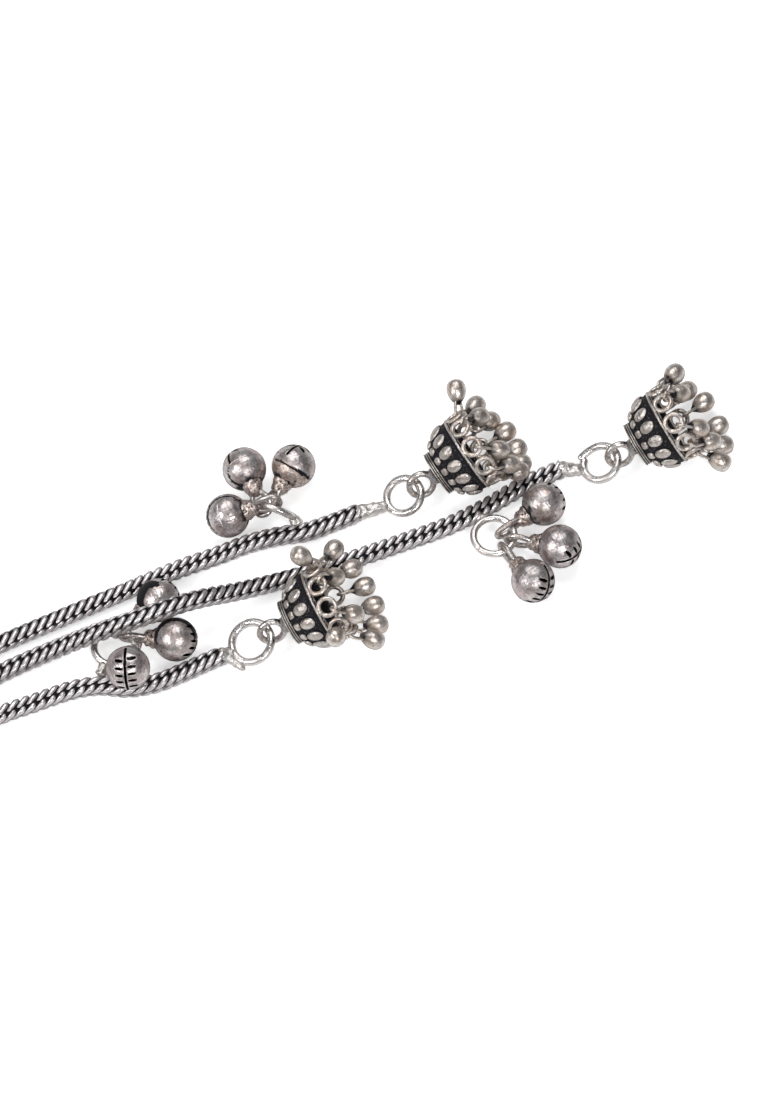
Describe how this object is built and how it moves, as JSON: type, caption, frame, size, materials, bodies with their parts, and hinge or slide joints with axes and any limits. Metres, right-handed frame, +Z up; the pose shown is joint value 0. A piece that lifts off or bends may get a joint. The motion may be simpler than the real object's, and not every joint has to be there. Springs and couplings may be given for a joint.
{
  "type": "chain drop earring",
  "caption": "Drop earring in dark oxidised silver: woven chains from one ring, each with a granulated dome bell fringed with bead drops and a ring of round hollow bells.",
  "frame": {"origin": "under the middle of the earring's plan, on the surface that it lies on", "axes": "+X along the chains towards the lowest dome bell, +Y across the chains towards the first chain's side, +Z up from the surface"},
  "size_m": [0.1438, 0.0348, 0.0123],
  "materials": {
    "chain_silver": "oxidised black in the weave, worn bright on top",
    "ring_silver": "satin with a light tarnish",
    "dome_silver": "oxidised black ground with bright raised grains",
    "drop_silver": "satin with a warm tarnish",
    "bell_silver": "satin, brushed, with a pinkish brown tarnish"
  },
  "bodies": {
    "root": {"ear_hook": "ring_silver", "top_ring": "ring_silver", "chain_1": "chain_silver", "chain_2": "chain_silver", "chain_3": "chain_silver", "dome_1": "dome_silver", "dome_2": "dome_silver", "dome_3": "dome_silver", "drop_1_1": "drop_silver", "drop_1_2": "drop_silver", "drop_1_3": "drop_silver", "drop_1_4": "drop_silver", "drop_1_5": "drop_silver", "drop_1_6": "drop_silver", "drop_1_7": "drop_silver", "drop_1_8": "drop_silver", "drop_1_9": "drop_silver", "drop_1_10": "drop_silver", "drop_2_1": "drop_silver", "drop_2_2": "drop_silver", "drop_2_3": "drop_silver", "drop_2_4": "drop_silver", "drop_2_5": "drop_silver", "drop_2_6": "drop_silver", "drop_2_7": "drop_silver", "drop_2_8": "drop_silver", "drop_2_9": "drop_silver", "drop_2_10": "drop_silver", "drop_3_1": "drop_silver", "drop_3_2": "drop_silver", "drop_3_3": "drop_silver", "drop_3_4": "drop_silver", "drop_3_5": "drop_silver", "drop_3_6": "drop_silver", "drop_3_7": "drop_silver", "drop_3_8": "drop_silver", "drop_3_9": "drop_silver", "drop_3_10": "drop_silver", "bell_1_a": "bell_silver", "bell_1_b": "bell_silver", "bell_1_c": "bell_silver", "bell_2_a": "bell_silver", "bell_2_b": "bell_silver", "bell_2_c": "bell_silver", "bell_3_a": "bell_silver", "bell_3_b": "bell_silver", "bell_3_c": "bell_silver"}
  },
  "joints": []
}
